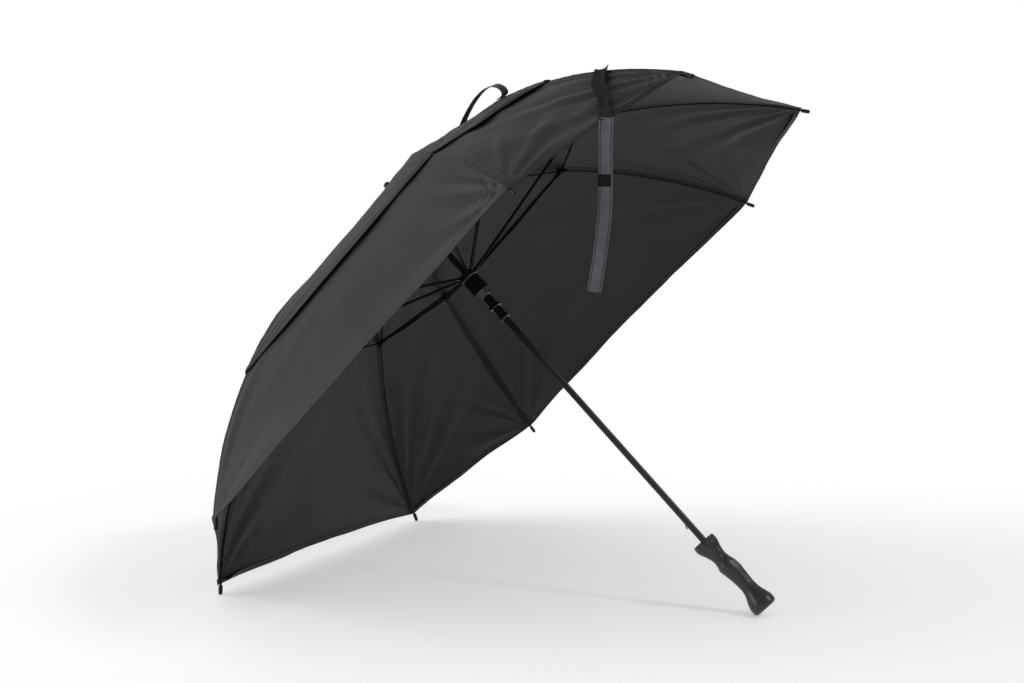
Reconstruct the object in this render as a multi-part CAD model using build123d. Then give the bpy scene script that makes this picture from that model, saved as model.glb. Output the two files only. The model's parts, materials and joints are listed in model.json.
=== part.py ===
"""Golf umbrella with a vented double canopy, open and laid on two rib tips and the butt of its handle.

The umbrella is designed upright, in millimetres: the shaft runs along +Z from the butt at z = 0 and the
crown is at the top.  Every piece is then turned and set down as the open umbrella lies on a floor.
"""

import os
from math import asin, atan2, cos, degrees, hypot, radians, sin, tan

from build123d import *

# ---------------------------------------------------------------- driving dimensions, in millimetres
rib_count = 8
narrow_gore_angle = 28.6        # between the two ribs of each corner of the squarish canopy
canopy_radius = 650.0           # shaft axis to the end of a rib

crown_pivot_height = 936.5      # of the ring that the ribs hang on, above the butt
pivot_circle_radius = 14.0      # of the crown's ring and of the runner's ring
inner_rib_length = 333.0        # crown ring to the joint; a stretcher is as long
open_rib_angle = 73.3           # from the shaft, when open
closed_rib_angle = 4.0          # from the shaft, when folded
closed_tip_inset = 1.6          # lean of a folded outer rib towards the shaft

outer_rib_bow_radius = 880.0
outer_rib_start_slope = 25.0    # below level, at the joint

shaft_diameter = 11.0
shaft_wall = 1.2
shaft_foot_height = 25.0        # inside the handle
shaft_above_ring = 19.5         # end of the shaft, inside the ferrule cap

rib_diameter = 4.0
outer_rib_diameter = 3.6
tongue_thickness = 2.4
tongue_height = 5.0
tongue_length = 9.0
eye_diameter = 6.4
cheek_thickness = 1.2
cheek_height = 6.0
cheek_gap = 0.3                 # side play between the plates of a joint
pin_diameter = 2.4
pin_head_diameter = 4.4
pin_head_thickness = 0.8
pin_clearance = 0.05
stretcher_width = 5.0
stretcher_height = 4.0
stretcher_wall = 0.9

ring_wire_diameter = 1.5
ring_clearance = 0.15
slot_side_clearance = 0.3
notch_radius = 18.0
notch_above_ring = 6.0
notch_below_ring = 4.5
running_clearance = 0.08

washer_radius = 28.0
washer_thickness = 1.0
ferrule_flange_radius = 11.0
ferrule_flange_thickness = 2.0
ferrule_radius = 7.2
ferrule_height = 29.0
ferrule_round = 4.0

runner_flange_radius = 17.0
runner_body_radius = 15.3
runner_neck_radius = 7.8
runner_body_length = 32.0
runner_cone_length = 12.0
runner_neck_length = 19.0
runner_flange_chamfer = 1.5
lug_ring_radius = 9.6
lug_ring_length = 7.0
sleeve_radius = 7.2
sleeve_length = 17.0
sleeve_end_radius = 8.3
sleeve_end_length = 8.0
ring_chamfer = 1.2
lug_width = 5.0
lug_reach = 2.2                 # past the finger ring
lug_inset = 1.0
lug_round = 0.9

tip_cap_diameter = 6.8
tip_cap_length = 15.0
tip_cap_overlap = 9.0

cloth_thickness = 0.8
cloth_seam_gap = 0.2            # half of the gap between two gores over a rib
lower_cloth_height = 4.8        # underside of the lower cloth above a rib's centre line
cap_cloth_height = 6.9          # underside of the vent cap above a rib's centre line
lower_cloth_inner_radius = 340.0
lower_cloth_tip_margin = 2.0    # cloth ends this far short of the rib's end
cap_inner_radius = 24.0
cap_outer_radius = 455.0
neck_dip = 0.01                 # of a gore's inner edge, as a share of its width
hem_dip = 0.012                 # inward bow of a hem, as a share of its chord
cap_dip = 0.015                 # the same for the vent cap's edge

handle_length = 145.0
grip_azimuth = 21.0             # direction in which the palm swell leans
end_cap_length = 13.5
end_cap_radius = 21.5
end_cap_round = 6.0
end_cap_offset = 3.0
end_cap_spigot_radius = 12.0
end_cap_spigot_length = 10.0
# distance from the handle's top, lean of the centre, half-width across the lean
grip_sections = (
    (0.0, -1.6, 19.6),
    (10.5, -1.5, 20.0),
    (24.5, -0.4, 15.1),
    (36.0, 0.8, 12.5),
    (46.0, 1.5, 13.7),
    (54.5, 1.8, 16.0),
    (65.5, 3.5, 15.6),
    (82.5, 4.3, 13.7),
    (99.0, 4.5, 12.7),
    (110.0, 3.9, 14.2),
    (121.5, 3.0, 18.4),
    (131.5, 3.0, 21.5),
)
grip_depth_share = 0.92         # thickness of the grip along the palm, as a share of its width

catch_azimuth = 180.0
catch_length = 42.0
catch_thickness = 0.8
catch_width = 3.0
catch_reach = 3.2
catch_nose_height = 12.0
catch_tip_height = 3.0
catch_wall_gap = 0.3
catch_slot_clearance = 0.4
catch_press_angle = 5.0
closed_catch_rise = 17.0        # of the catch's top above the end of the closed runner

strap_width = 19.0
strap_thickness = 1.2
strap_root_radius = 545.0       # from the shaft, on the seam over rib 2
strap_hem_share = 0.12          # where it crosses the hem, from the gore's middle towards rib 2
strap_clearance = 0.3           # to the cloth, over the bulge between the seam and the hem
strap_hem_reach = 9.0           # past the hem
strap_end_gap = 3.0             # between the part on the cloth and the part that hangs
strap_free_length = 229.0
strap_patch_length = 16.0
strap_patch_thickness = 1.0
strap_patch_drop = 72.0         # from the hinge at the hem to the patch
loop_width = 14.0
loop_thickness = 1.4
loop_inner_radius = 224.0       # feet of the hanging loop, from the shaft, on the cap's seam over rib 2
loop_outer_radius = 372.0
loop_height = 31.0
loop_foot = 14.0                # of the webbing that lies on the cap
loop_seat = 0.5                 # between the loop's feet and the cap

# ---------------------------------------------------------------- worked-out positions
shaft_radius = shaft_diameter / 2
wide_gore_angle = 720.0 / rib_count - narrow_gore_angle
fold_angle = open_rib_angle - closed_rib_angle

joint_radius = pivot_circle_radius + inner_rib_length * sin(radians(open_rib_angle))
joint_height = crown_pivot_height - inner_rib_length * cos(radians(open_rib_angle))
runner_pivot_height = 2 * joint_height - crown_pivot_height
closed_runner_pivot_height = crown_pivot_height - 2 * inner_rib_length * cos(radians(closed_rib_angle))

bow_start = radians(outer_rib_start_slope)
bow_end = asin((canopy_radius - joint_radius) / outer_rib_bow_radius + sin(bow_start))
bow_centre_radius = joint_radius - outer_rib_bow_radius * sin(bow_start)
bow_centre_height = joint_height - outer_rib_bow_radius * cos(bow_start)
chord_slope = degrees((bow_start + bow_end) / 2)
outer_fold_angle = (90 - chord_slope) + closed_tip_inset
outer_fold_share = (outer_fold_angle - fold_angle) / fold_angle

tongue_half = tongue_thickness / 2
inner_cheek = tongue_half + cheek_gap
outer_cheek = inner_cheek + cheek_thickness + cheek_gap
pin_reach = outer_cheek + cheek_thickness + cheek_gap

runner_top = runner_pivot_height + notch_below_ring
runner_flange_depth = notch_below_ring + notch_above_ring
runner_length = (
    runner_flange_depth + runner_body_length + runner_cone_length + runner_neck_length
    + lug_ring_length + sleeve_length + sleeve_end_length
)
runner_foot = runner_top - runner_length
closed_runner_foot = runner_foot - (runner_pivot_height - closed_runner_pivot_height)
lug_ring_top = runner_foot + sleeve_end_length + sleeve_length + lug_ring_length

shaft_top_height = crown_pivot_height + shaft_above_ring
washer_height = crown_pivot_height + notch_above_ring + 0.3
ferrule_foot = washer_height + washer_thickness
ferrule_top = ferrule_foot + ferrule_height


def rib_azimuth(index):
    """Azimuth of rib 0..7: two ribs a narrow gore apart at each corner of the canopy."""
    corner = -45.0 + 90.0 * (index // 2)
    return corner + (narrow_gore_angle / 2) * (1 if index % 2 else -1)


def bow_point(slope, height=0.0):
    """Point of the open outer rib where it slopes down by this angle, lifted off its centre line."""
    reach = outer_rib_bow_radius + height
    return bow_centre_radius + reach * sin(slope), bow_centre_height + reach * cos(slope)


def bow_slope_at(radius, height=0.0):
    """Slope of the outer rib's bow at this distance from the shaft."""
    return asin((radius - bow_centre_radius) / (outer_rib_bow_radius + height))


# ---------------------------------------------------------------- how the open umbrella lies
tip_radius, tip_height = bow_point(bow_end)
tip_round = tip_cap_diameter / 2
tip_reach = tip_cap_length - tip_cap_overlap - tip_round
low_tip = (
    -(tip_radius + tip_reach * cos(bow_end)) * cos(radians(wide_gore_angle / 2)),
    tip_height - tip_reach * sin(bow_end),
)
low_butt = (
    end_cap_offset * cos(radians(grip_azimuth)) - (end_cap_radius - end_cap_round),
    end_cap_round,
)
support_span = hypot(low_tip[0] - low_butt[0], low_tip[1] - low_butt[1])
support_rise = degrees(atan2(low_tip[1] - low_butt[1], low_butt[0] - low_tip[0]))
shaft_lean = support_rise - degrees(asin((tip_round - end_cap_round) / support_span))


def in_rib_plane(index, shape):
    """Turns a shape made in the XZ plane to a rib's azimuth."""
    return Rot(0, 0, rib_azimuth(index)) * shape


def bar_plane(radius, height, slope):
    """Plane at a point of the XZ plane: local X runs outwards along a bar that falls by slope."""
    fall = radians(slope)
    return Plane(origin=(radius, 0, height), x_dir=(cos(fall), 0, -sin(fall)), z_dir=(0, -1, 0))


def rod(diameter, start, length):
    """Round bar along local X."""
    bar = Cylinder(diameter / 2, length, align=(Align.CENTER, Align.CENTER, Align.MIN))
    return Location((start, 0, 0), (0, 90, 0)) * bar


def plate(start, length, height, thickness, side=0.0):
    """Flat plate along local X, at a distance to the side."""
    return Pos(start + length / 2, 0, side) * Box(length, height, thickness)


def disc(diameter, thickness, at=0.0, side=0.0):
    """Round plate across local X."""
    return Pos(at, 0, side) * Cylinder(diameter / 2, thickness)


def drilled(shape, diameter, at=0.0):
    """Shape with a cross hole."""
    return shape - Pos(at, 0, 0) * Cylinder(diameter / 2, 4 * pin_reach)


# ---------------------------------------------------------------- ribs, stretchers and their pins
ring_hole_diameter = ring_wire_diameter + 2 * ring_clearance
pin_hole_diameter = pin_diameter + 2 * pin_clearance
tongue_step = tongue_length - 2.0


def inner_rib():
    """Straight part of a rib, with a flat eye for the crown's ring and one for the joint pin."""
    length = inner_rib_length
    shape = rod(rib_diameter, tongue_step, length - 2 * tongue_step)
    for at, start in ((0.0, 0.0), (length, length - tongue_length)):
        shape += disc(eye_diameter, tongue_thickness, at)
        shape += plate(start, tongue_length, tongue_height, tongue_thickness)
    shape = drilled(shape, ring_hole_diameter)
    shape = drilled(shape, pin_hole_diameter, length)
    return bar_plane(pivot_circle_radius, crown_pivot_height, 90 - open_rib_angle).location * shape


def joint_pin():
    """Riveted pin that joins the rib's two parts and the stretcher."""
    pin = Cylinder(pin_diameter / 2, 2 * pin_reach)
    for side in (-1, 1):
        pin += Pos(0, 0, side * (pin_reach + pin_head_thickness / 2)) * Cylinder(
            pin_head_diameter / 2, pin_head_thickness
        )
    return bar_plane(joint_radius, joint_height, 0).location * pin


def fork(inside, cheek_length, bridge_start, bridge_length, bridge_height):
    """Two cheeks that straddle what turns between them, and the bridge that joins them."""
    shape = plate(bridge_start, bridge_length, bridge_height, 2 * (inside + cheek_thickness))
    for side in (-1, 1):
        place = side * (inside + cheek_thickness / 2)
        shape += plate(0, cheek_length, cheek_height, cheek_thickness, place)
        shape += disc(cheek_height, cheek_thickness, 0, place)
    return drilled(shape, pin_hole_diameter)


def outer_rib():
    """Bowed flexible end of a rib, with a fork that turns on the joint pin."""
    clevis = fork(inner_cheek, 11.0, 5.0, 8.0, outer_rib_diameter + 1.0)
    shape = bar_plane(joint_radius, joint_height, outer_rib_start_slope).location * clevis
    start_slope = bow_start + 10.0 / outer_rib_bow_radius
    points = [bow_point(s) for s in (start_slope, (start_slope + bow_end) / 2, bow_end)]
    path = ThreePointArc(*[(x, 0, z) for x, z in points])
    section = Plane(origin=path @ 0, z_dir=path % 0) * Circle(outer_rib_diameter / 2)
    return shape + sweep(section, path=path)


def tip_cap():
    """Round-ended cap on the end of a rib, which the canopy's corner is sewn to."""
    length = tip_cap_length - tip_round
    cap = rod(tip_cap_diameter, -tip_cap_overlap, length) + Pos(length - tip_cap_overlap, 0, 0) * Sphere(
        tip_round
    )
    cap -= rod(outer_rib_diameter + 2 * pin_clearance, -tip_cap_overlap - 1, tip_cap_overlap + 1.1)
    return bar_plane(tip_radius, tip_height, degrees(bow_end)).location * cap


def stretcher():
    """Grooved bar from the joint pin to the runner's ring, forked over the rib."""
    length = inner_rib_length
    groove_start = 22.0
    groove_end = length - tongue_length - 2.0
    shape = fork(outer_cheek, 18.0, 15.0, 8.0, stretcher_height - 0.4)
    bar = plate(17.0, length - tongue_step - 17.0, stretcher_height, stretcher_width)
    groove = Pos(0, -stretcher_wall, 0) * plate(
        groove_start, groove_end - groove_start, stretcher_height, stretcher_width - 2 * stretcher_wall
    )
    shape += bar - groove
    shape += plate(length - tongue_length, tongue_length, tongue_height, tongue_thickness)
    shape += disc(eye_diameter, tongue_thickness, length)
    shape = drilled(shape, ring_hole_diameter, length)
    back = Plane(
        origin=(joint_radius, 0, joint_height),
        x_dir=(-sin(radians(open_rib_angle)), 0, -cos(radians(open_rib_angle))),
        z_dir=(0, 1, 0),
    )
    return back.location * shape


# ---------------------------------------------------------------- crown, runner and shaft
def wire_ring(height, wire_diameter=ring_wire_diameter):
    """Wire ring that the bar ends are threaded on."""
    return Pos(0, 0, height) * Torus(pivot_circle_radius, wire_diameter / 2)


def slotted(shape, height, opens_up):
    """Hub with one slot for each bar end, open outwards and up or down, and a channel for the ring."""
    reach = notch_radius
    depth = eye_diameter / 2 + 0.4
    slot_height = depth + 2 * notch_radius
    start = pivot_circle_radius - depth
    middle = height + (slot_height / 2 - depth) * (1 if opens_up else -1)
    width = tongue_thickness + 2 * slot_side_clearance
    slot = Pos(start + reach / 2, 0, middle) * Box(reach, width, slot_height)
    for index in range(rib_count):
        shape -= in_rib_plane(index, slot)
    return shape - wire_ring(height, ring_wire_diameter + 0.1)


def crown_notch():
    """Slotted hub at the top of the shaft."""
    height = notch_above_ring + notch_below_ring
    foot = crown_pivot_height - notch_below_ring
    hub = Pos(0, 0, foot) * Cylinder(
        notch_radius, height, align=(Align.CENTER, Align.CENTER, Align.MIN)
    )
    hub = slotted(hub, crown_pivot_height, opens_up=False)
    return hub - Pos(0, 0, foot) * Cylinder(shaft_radius, 3 * height)


def turned(points):
    """Solid of revolution about the shaft from (radius, height) points."""
    outline = Polyline(*[(r, 0, z) for r, z in points], close=True)
    return revolve(make_face(outline), Axis.Z)


def runner_body():
    """Sliding hub: slotted flange, barrel, cone and neck."""
    bore = shaft_radius + running_clearance
    barrel = runner_top - runner_flange_depth
    cone = barrel - runner_body_length
    neck = cone - runner_cone_length
    shoulder = runner_body_radius - runner_neck_radius
    shape = turned([
        (bore, runner_top), (runner_flange_radius, runner_top), (runner_flange_radius, barrel),
        (runner_body_radius, barrel - runner_flange_chamfer), (runner_body_radius, cone),
        (runner_neck_radius + 0.48 * shoulder, neck + 0.42 * runner_cone_length),
        (runner_neck_radius + 0.35 * shoulder, neck + 0.21 * runner_cone_length),
        (runner_neck_radius, neck), (runner_neck_radius, lug_ring_top), (bore, lug_ring_top),
    ])
    return slotted(shape, runner_pivot_height, opens_up=True)


def runner_sleeve():
    """Finger ring with two lugs, and the sleeve below it that the catches hold."""
    bore = shaft_radius + running_clearance
    sleeve = lug_ring_top - lug_ring_length
    end = runner_foot + sleeve_end_length
    cut = ring_chamfer
    shape = turned([
        (bore, lug_ring_top), (lug_ring_radius - cut, lug_ring_top), (lug_ring_radius, lug_ring_top - cut),
        (lug_ring_radius, sleeve + cut), (lug_ring_radius - cut, sleeve), (sleeve_radius, sleeve),
        (sleeve_radius, end + cut), (sleeve_end_radius, end), (sleeve_end_radius, runner_foot + cut),
        (sleeve_end_radius - cut, runner_foot), (bore, runner_foot),
    ])
    lug_middle = lug_ring_top - lug_ring_length / 2
    for side in (-1, 1):
        lug = Box(2 * lug_reach, lug_width, lug_ring_length - 2 * lug_inset)
        lug = fillet(lug.edges().filter_by(Axis.Z), lug_round)
        shape += Rot(0, 0, 45) * Pos(side * lug_ring_radius, 0, lug_middle) * lug
    window = catch_nose_height + 2 * catch_slot_clearance
    window_top = runner_foot + closed_catch_rise + catch_slot_clearance
    cut = Pos(-sleeve_end_radius, 0, window_top - window / 2) * Box(
        2 * sleeve_end_radius, catch_width + 2 * catch_slot_clearance, window
    )
    return shape - cut


def catch_top(opened):
    """Height of a catch's nose: under the open runner, or in the closed runner's window."""
    if opened:
        return runner_foot - catch_wall_gap
    return closed_runner_foot + closed_catch_rise


def catch(opened):
    """Sprung leaf inside the shaft whose nose stands out through a slot.

    The open catch's flat face is on top, under the open runner.  The closed catch's is below, over the
    lower edge of the closed runner's window.
    """
    top = catch_top(opened)
    leaf_x = shaft_radius - shaft_wall - catch_wall_gap
    foot = top - catch_length
    nose_foot = top - catch_nose_height
    out = shaft_radius + catch_reach
    back = leaf_x - catch_thickness
    if opened:
        nose = [(leaf_x, nose_foot), (out, top - catch_tip_height), (out, top)]
    else:
        nose = [(leaf_x, nose_foot), (out, nose_foot), (out, nose_foot + catch_tip_height), (leaf_x, top)]
    corners = [(leaf_x, foot), *nose, (back, top), (back, foot)]
    outline = Polyline(*[(x, 0, z) for x, z in corners], close=True)
    leaf = extrude(make_face(outline), catch_width / 2, both=True)
    return Rot(0, 0, catch_azimuth) * leaf


def catch_slot(opened):
    """Slot in the shaft's wall for a catch's nose, long enough for it to be pressed in."""
    top = catch_top(opened)
    height = catch_nose_height + 2 * catch_slot_clearance
    slot = Pos(shaft_radius, 0, top + catch_slot_clearance - height / 2) * Box(
        2 * shaft_wall + 2, catch_width + 2 * catch_slot_clearance, height
    )
    return Rot(0, 0, catch_azimuth) * slot


def shaft_tube():
    """Shaft with the slots of its two catches."""
    length = shaft_top_height - shaft_foot_height
    foot = Pos(0, 0, shaft_foot_height)
    align = (Align.CENTER, Align.CENTER, Align.MIN)
    tube = foot * Cylinder(shaft_radius, length, align=align)
    tube -= foot * Cylinder(shaft_radius - shaft_wall, length, align=align)
    return tube - catch_slot(True) - catch_slot(False)


def canopy_washer():
    """Disc over the cloth's middle."""
    ring = Cylinder(washer_radius, washer_thickness) - Cylinder(shaft_radius, 2 * washer_thickness)
    return Pos(0, 0, washer_height + washer_thickness / 2) * ring


def ferrule_cap():
    """Short round nub that closes the top of the shaft."""
    flange_top = ferrule_foot + ferrule_flange_thickness
    shape = turned([
        (0, ferrule_foot), (ferrule_flange_radius, ferrule_foot), (ferrule_flange_radius, flange_top),
        (ferrule_radius, flange_top + 2.5), (ferrule_radius - 1.0, ferrule_top), (0, ferrule_top),
    ])
    shape = fillet(shape.edges().sort_by(Axis.Z)[-1], ferrule_round)
    depth = shaft_top_height - ferrule_foot
    return shape - Pos(0, 0, ferrule_foot) * Cylinder(
        shaft_radius, depth, align=(Align.CENTER, Align.CENTER, Align.MIN)
    )


# ---------------------------------------------------------------- handle
def handle_grip():
    """Contoured grip: flared collar, waist, palm swell, narrow and flare down to the end cap."""
    sections = []
    for below_top, lean, half_width in grip_sections:
        ellipse = Ellipse(half_width, half_width * grip_depth_share)
        sections.append(Pos(lean, 0, handle_length - below_top) * ellipse)
    grip = Rot(0, 0, grip_azimuth) * loft(sections)
    align = (Align.CENTER, Align.CENTER, Align.MIN)
    grip -= Pos(0, 0, shaft_foot_height) * Cylinder(shaft_radius, handle_length, align=align)
    pocket = Pos(end_cap_offset, 0, 0) * Cylinder(
        end_cap_spigot_radius, end_cap_length + end_cap_spigot_length, align=align
    )
    return grip - Rot(0, 0, grip_azimuth) * pocket


def handle_end_cap():
    """Round cap that plugs the end of the grip."""
    align = (Align.CENTER, Align.CENTER, Align.MIN)
    cap = Cylinder(end_cap_radius, end_cap_length, align=align)
    cap = fillet(cap.edges().sort_by(Axis.Z)[0], end_cap_round)
    spigot = Pos(0, 0, end_cap_length) * Cylinder(
        end_cap_spigot_radius - running_clearance, end_cap_spigot_length - 1.0, align=align
    )
    return Rot(0, 0, grip_azimuth) * Pos(end_cap_offset, 0, 0) * (cap + spigot)


# ---------------------------------------------------------------- canopy cloth
def gore_azimuth(index):
    """Azimuth of the middle of the gore between rib index and the next one."""
    return -45.0 + 45.0 * index


def gore_half_angle(index):
    """Half of the angle between a gore's two ribs: narrow and wide gores take turns."""
    return (wide_gore_angle if index % 2 else narrow_gore_angle) / 2


def in_gore_plane(index, shape):
    """Turns a shape whose middle is along +X to a gore's azimuth."""
    return Rot(0, 0, gore_azimuth(index)) * shape


def offset_rows(slopes, height):
    """Underside and top of cloth laid over the bowed rib, at these slopes."""
    return (
        [bow_point(slope, height) for slope in slopes],
        [bow_point(slope, height + cloth_thickness) for slope in slopes],
    )


def lower_profile():
    """Section of the lower canopy, from inside its opening to past the hem."""
    start = bow_slope_at(lower_cloth_inner_radius - 6, lower_cloth_height)
    end = bow_end + radians(1.0)
    steps = 8
    return offset_rows([start + (end - start) * i / steps for i in range(steps + 1)], lower_cloth_height)


def cap_profile():
    """Section of the vent cap: straight over the inner rib, then along the bow to past its edge."""
    fall = radians(90 - open_rib_angle)
    start = bow_start + radians(1.0)
    end = bow_slope_at(cap_outer_radius + 6, cap_cloth_height)
    steps = 4
    rows = offset_rows([start + (end - start) * i / steps for i in range(steps + 1)], cap_cloth_height)
    inner_start = cap_inner_radius - 8
    full = []
    for row, height in zip(rows, (cap_cloth_height, cap_cloth_height + cloth_thickness)):
        rise = (joint_radius - inner_start) * tan(fall) + height / cos(fall)
        full.append([(inner_start, joint_height + rise), (joint_radius, joint_height + height)] + row)
    return full


def gore(half_angle, profile, inner_radius, outer_radius, inner_bow, outer_bow):
    """One gore, with its middle along +X.

    Between two ribs the cloth's threads run level and straight, so a gore is a bent sheet: its
    section along the middle is the rib's own profile, drawn in by the cosine of the half angle.
    """
    half = radians(half_angle)
    lower, upper = ([(x * cos(half), 0, z) for x, z in row] for row in profile)
    outline = Polyline(*lower, *reversed(upper), close=True)
    sheet = extrude(make_face(outline), outer_radius * sin(half) + 5, both=True)
    corners = []
    for radius in (inner_radius, outer_radius):
        corners.append((radius * cos(half), radius * sin(half) - cloth_seam_gap / cos(half)))
    (inner_x, inner_y), (outer_x, outer_y) = corners
    plan = make_face([
        ThreePointArc((inner_x, -inner_y), (inner_x - inner_bow * 2 * inner_y, 0), (inner_x, inner_y)),
        Line((inner_x, inner_y), (outer_x, outer_y)),
        ThreePointArc((outer_x, outer_y), (outer_x - outer_bow * 2 * outer_y, 0), (outer_x, -outer_y)),
        Line((outer_x, -outer_y), (inner_x, -inner_y)),
    ])
    return sheet & extrude(plan, crown_pivot_height + 100)


def canopy_gore(index):
    """Gore of the lower canopy, from the vent's opening to the hem."""
    outer = canopy_radius - lower_cloth_tip_margin
    shape = gore(gore_half_angle(index), lower_profile(), lower_cloth_inner_radius, outer, neck_dip, hem_dip)
    return in_gore_plane(index, shape)


def vent_gore(index):
    """Gore of the vent cap, from the crown to its free edge over the lower canopy."""
    shape = gore(gore_half_angle(index), cap_profile(), cap_inner_radius, cap_outer_radius, neck_dip, cap_dip)
    return in_gore_plane(index, shape)


# ---------------------------------------------------------------- closing strap and hanging loop
def seam_point(index, radius, height):
    """Point above the bowed part of a rib."""
    azimuth = radians(rib_azimuth(index))
    x, z = radius, bow_point(bow_slope_at(radius, height), height)[1]
    return Vector(x * cos(azimuth), x * sin(azimuth), z)


def hem_point(index, share, height):
    """Point above a gore's hem, at a share of the way from its middle towards the next rib."""
    half = radians(gore_half_angle(index))
    outer = canopy_radius - lower_cloth_tip_margin
    reach = outer * cos(half) - hem_dip * 2 * outer * sin(half) * (1 - share ** 2)
    side = share * outer * sin(half)
    level = bow_point(bow_slope_at(reach / cos(half), height), height)[1]
    return Vector(reach, side, level).rotate(Axis.Z, gore_azimuth(index))


def band(points, thickness):
    """Flat closed outline of a bent band, thickened to the left of its path."""
    far = []
    for i, (x, y) in enumerate(points):
        back = points[max(i - 1, 0)]
        ahead = points[min(i + 1, len(points) - 1)]
        along = hypot(ahead[0] - back[0], ahead[1] - back[1])
        rise = (ahead[1] - back[1]) / along
        run = (ahead[0] - back[0]) / along
        far.append((x - thickness * rise, y + thickness * run))
    return make_face(Polyline(*points, *reversed(far), close=True))


def cloth_normal(index, radius):
    """Outward direction of a gore's cloth at this distance from the shaft."""
    slope = atan2(tan(bow_slope_at(radius)), cos(radians(gore_half_angle(index))))
    return Vector(sin(slope), 0, cos(slope)).rotate(Axis.Z, gore_azimuth(index))


vertical = Vector(sin(radians(shaft_lean)), 0, cos(radians(shaft_lean)))
strap_seam = seam_point(1, strap_root_radius, lower_cloth_height + cloth_thickness)
strap_hem = hem_point(0, strap_hem_share, lower_cloth_height + cloth_thickness)
strap_out = cloth_normal(0, (strap_root_radius + canopy_radius) / 2)
strap_run = strap_hem - strap_seam
strap_run = strap_run - strap_out * strap_run.dot(strap_out)
strap_lift = strap_clearance + strap_run.length ** 2 / (8 * outer_rib_bow_radius)
strap_root_length = strap_run.length + strap_hem_reach
strap_root_plane = Plane(origin=strap_seam, x_dir=strap_run, z_dir=strap_out)
strap_root_end = strap_root_plane.from_local_coords(Vector(strap_root_length, 0, strap_lift))
strap_level = strap_run - vertical * strap_run.dot(vertical)
strap_away = strap_level.normalized()
strap_hinge = strap_root_end + strap_away * strap_end_gap


def hanging_strip(start, length, thickness, width, inset=0.0):
    """Strip of webbing that hangs from the strap's hinge, its face towards the outside."""
    plane = Plane(origin=strap_hinge, x_dir=-vertical, z_dir=strap_away)
    align = (Align.MIN, Align.CENTER, Align.MIN)
    return plane * (Pos(start, 0, inset) * Box(length, width, thickness, align=align))


def strap_root():
    """Part of the closing strap that lies over the cloth, from the seam to past the hem."""
    align = (Align.MIN, Align.CENTER, Align.MIN)
    strip = Box(strap_root_length, strap_width, strap_thickness, align=align)
    return strap_root_plane * (Pos(0, 0, strap_lift) * strip)


def strap_end():
    """Part of the closing strap that hangs free below the hem."""
    return hanging_strip(0, strap_free_length, strap_thickness, strap_width)


def strap_patch():
    """Hook-and-loop patch on the strap's outer face."""
    return hanging_strip(
        strap_patch_drop, strap_patch_length, strap_patch_thickness, strap_width - 2, strap_thickness
    )


def cap_top(radius):
    """Height of the vent cap's top over a rib."""
    height = cap_cloth_height + cloth_thickness
    if radius < joint_radius:
        fall = radians(90 - open_rib_angle)
        return joint_height + (joint_radius - radius) * tan(fall) + height / cos(fall)
    return bow_point(bow_slope_at(radius, height), height)[1]


def hanging_loop():
    """Webbing loop that stands up from the vent cap's seam over rib 2."""
    near, far = loop_inner_radius, loop_outer_radius
    span = far - near
    stations = [
        (near - loop_foot, loop_seat), (near, loop_seat), (near + 0.26 * span, 0.55 * loop_height),
        (near + 0.52 * span, loop_height), (near + 0.86 * span, loop_height), (far, 0.3 * loop_height),
        (far - loop_foot / 3, loop_seat),
    ]
    face = band([(radius, cap_top(radius) + height) for radius, height in stations], loop_thickness)
    upright = Plane(origin=(0, 0, 0), x_dir=(1, 0, 0), z_dir=(0, -1, 0))
    return in_rib_plane(1, upright * extrude(face, loop_width / 2, both=True))


# ---------------------------------------------------------------- the whole umbrella
def upright_parts():
    """Every piece of the upright umbrella, by the name of its node."""
    parts = {
        "shaft_tube": shaft_tube(),
        "crown_notch": crown_notch(),
        "crown_ring_wire": wire_ring(crown_pivot_height),
        "canopy_washer": canopy_washer(),
        "ferrule_cap": ferrule_cap(),
        "runner_body": runner_body(),
        "runner_sleeve": runner_sleeve(),
        "runner_ring_wire": wire_ring(runner_pivot_height),
        "handle_grip": handle_grip(),
        "handle_end_cap": handle_end_cap(),
        "open_catch": catch(True),
        "closed_catch": catch(False),
        "strap_root": strap_root(),
        "strap_end": strap_end(),
        "strap_patch": strap_patch(),
        "hanging_loop": hanging_loop(),
    }
    inner, pin, outer, cap, bar = inner_rib(), joint_pin(), outer_rib(), tip_cap(), stretcher()
    for index in range(rib_count):
        number = index + 1
        inner_pieces = [in_rib_plane(index, piece) for piece in (inner, pin)]
        outer_pieces = [in_rib_plane(index, piece) for piece in (outer, cap)]
        parts[f"inner_rib_{number}"] = Compound(children=inner_pieces)
        parts[f"outer_rib_{number}"] = Compound(children=outer_pieces)
        parts[f"stretcher_{number}"] = in_rib_plane(index, bar)
        parts[f"canopy_gore_{number}"] = canopy_gore(index)
        parts[f"vent_gore_{number}"] = vent_gore(index)
    return parts


def resting_place(parts):
    """Where the upright umbrella goes: turned on to its supports, with the floor's middle at the origin."""
    turn = Rot(0, -shaft_lean, 0)
    box = Compound(children=[turn * part for part in parts.values()]).bounding_box()
    return Pos(-(box.min.X + box.max.X) / 2, -(box.min.Y + box.max.Y) / 2, -box.min.Z) * turn


def main():
    """Builds the umbrella at rest and writes one STEP file for each node."""
    os.makedirs("parts", exist_ok=True)
    parts = upright_parts()
    place = resting_place(parts)
    for name, part in parts.items():
        export_step(place * part, f"parts/{name}.step")
    print(len(parts), "nodes; shaft leans", round(shaft_lean, 3), "degrees; placed at", place)
    print("inner ribs fold by", round(fold_angle, 3), "degrees, catches press by", catch_press_angle)
    print("outer ribs turn by", round(outer_fold_share, 5), "of that, against it")


if __name__ == "__main__":
    main()
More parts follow.
